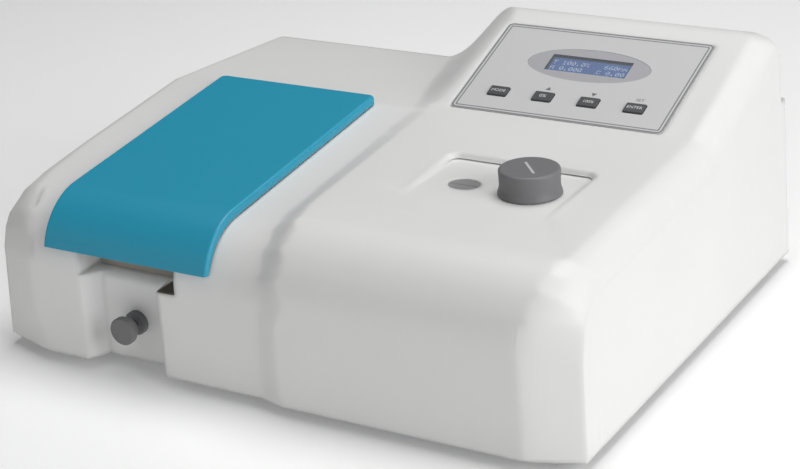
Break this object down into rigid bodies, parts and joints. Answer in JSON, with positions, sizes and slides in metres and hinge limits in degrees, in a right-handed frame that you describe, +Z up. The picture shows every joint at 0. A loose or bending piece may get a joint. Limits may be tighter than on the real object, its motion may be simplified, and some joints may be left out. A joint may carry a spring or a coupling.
{
  "type": "visible spectrophotometer",
  "caption": "Bench spectrophotometer with a lidded sample compartment, sliding cell holder on a pull rod, wavelength knob beside a dial window, and a sloping panel.",
  "frame": {"origin": "on the table under the middle of the instrument's outline", "axes": "+X to the right, +Y to the back, +Z up, seen from the front"},
  "size_m": [0.46, 0.372, 0.1804],
  "materials": {
    "cover_plastic": "fine-textured moulded light grey",
    "lid_plastic": "satin moulded teal blue",
    "panel_plastic": "satin grey sheet",
    "key_plastic": "satin dark grey",
    "knob_plastic": "satin dark grey",
    "switch_plastic": "gloss black",
    "smoked_window": "smoked clear plastic",
    "blue_display": "backlit blue display glass",
    "black_anodised": "matt black anodised",
    "bright_steel": "ground bright steel",
    "cast_aluminium": "milled cast aluminium",
    "zinc_sheet": "zinc-plated sheet",
    "brass_parts": "turned brass",
    "optical_glass": "polished clear glass",
    "mirror_coating": "aluminised front surface",
    "black_rubber": "soft black rubber and foam",
    "dial_plate": "printed grey dial",
    "green_board": "green circuit board",
    "board_pieces": "black components",
    "lamp_ceramic": "glazed ceramic",
    "core_steel": "varnished iron stack",
    "coil_tape": "yellow insulating tape"
  },
  "bodies": {
    "case": {"top_cover": "cover_plastic", "base_plate": "zinc_sheet", "rubber_feet": "black_rubber", "foot_screws": "bright_steel", "optical_bench": "cast_aluminium", "chamber_liner": "black_anodised", "carriage_rails": "bright_steel", "rod_bush": "knob_plastic", "lid_seal": "black_rubber", "hinge_brackets": "zinc_sheet", "hinge_pins": "bright_steel", "knob_bush": "brass_parts", "shaft_bearing": "brass_parts", "reading_window": "smoked_window", "monochromator_case": "cast_aluminium", "monochromator_lid": "cast_aluminium", "slit_plates": "black_anodised", "collimating_mirror": "mirror_coating", "focusing_mirror": "mirror_coating", "mirror_mounts": "cast_aluminium", "beam_tubes": "cast_aluminium", "beam_lenses": "optical_glass", "detector_housing": "cast_aluminium", "detector_board": "green_board", "photodiode": "brass_parts", "lamp_house": "zinc_sheet", "halogen_lamp": "optical_glass", "lamp_socket": "lamp_ceramic", "transformer_core": "core_steel", "transformer_coil": "coil_tape", "main_board": "green_board", "power_board": "green_board", "board_parts": "board_pieces", "rear_panel": "zinc_sheet", "mains_inlet": "switch_plastic", "fuse_holder": "switch_plastic", "switch_frame": "switch_plastic", "control_panel": "panel_plastic", "display_window": "smoked_window", "lcd_module": "green_board", "lcd_glass": "blue_display", "key_board": "green_board"},
    "lid": {"sample_lid": "lid_plastic", "light_shield": "black_anodised"},
    "carriage": {"cell_sled": "black_anodised", "cell_rack": "black_anodised", "pull_rod": "bright_steel", "pull_knob": "knob_plastic"},
    "knob": {"wavelength_knob": "knob_plastic", "knob_shaft": "bright_steel", "wavelength_dial": "dial_plate", "drive_pinion": "brass_parts"},
    "grating": {"grating_holder": "cast_aluminium", "grating_plate": "mirror_coating", "sector_gear": "brass_parts"},
    "rocker": {"switch_rocker": "switch_plastic"},
    "key_1": {"key_1": "key_plastic"},
    "key_2": {"key_2": "key_plastic"},
    "key_3": {"key_3": "key_plastic"},
    "key_4": {"key_4": "key_plastic"}
  },
  "joints": [
    {"name": "lid_hinge", "type": "hinge", "parent": "case", "child": "lid", "pos_m": [-0.1071, 0.0405, 0.14164], "axis": [-1, 0, 0], "range_deg": [0, 80]},
    {"name": "carriage_slide", "type": "slide", "parent": "case", "child": "carriage", "axis": [0, -1, 0], "range_m": [0, 0.048]},
    {"name": "wavelength_turn", "type": "hinge", "parent": "case", "child": "knob", "pos_m": [0.1401, -0.062, 0.1332], "axis": [0, 0, 1], "range_deg": [-150, 150]},
    {"name": "grating_turn", "type": "hinge", "parent": "case", "child": "grating", "pos_m": [0.0777, -0.062, 0.057], "axis": [0, 0, 1], "range_deg": [-12.5, 12.5]},
    {"name": "power_rocker", "type": "hinge", "parent": "case", "child": "rocker", "pos_m": [0.118, 0.1755, 0.046], "axis": [1, 0, 0], "range_deg": [0, 14]},
    {"name": "key_1_press", "type": "slide", "parent": "case", "child": "key_1", "axis": [0, 0.3222, -0.9467], "range_m": [0, 0.001], "stiffness_N_per_m": 1500},
    {"name": "key_2_press", "type": "slide", "parent": "case", "child": "key_2", "axis": [0, 0.3222, -0.9467], "range_m": [0, 0.001], "stiffness_N_per_m": 1500},
    {"name": "key_3_press", "type": "slide", "parent": "case", "child": "key_3", "axis": [0, 0.3222, -0.9467], "range_m": [0, 0.001], "stiffness_N_per_m": 1500},
    {"name": "key_4_press", "type": "slide", "parent": "case", "child": "key_4", "axis": [0, 0.3222, -0.9467], "range_m": [0, 0.001], "stiffness_N_per_m": 1500}
  ],
  "couplings": [
    {"joint": "grating_turn", "follows": "wavelength_turn", "ratio": -0.083333}
  ]
}
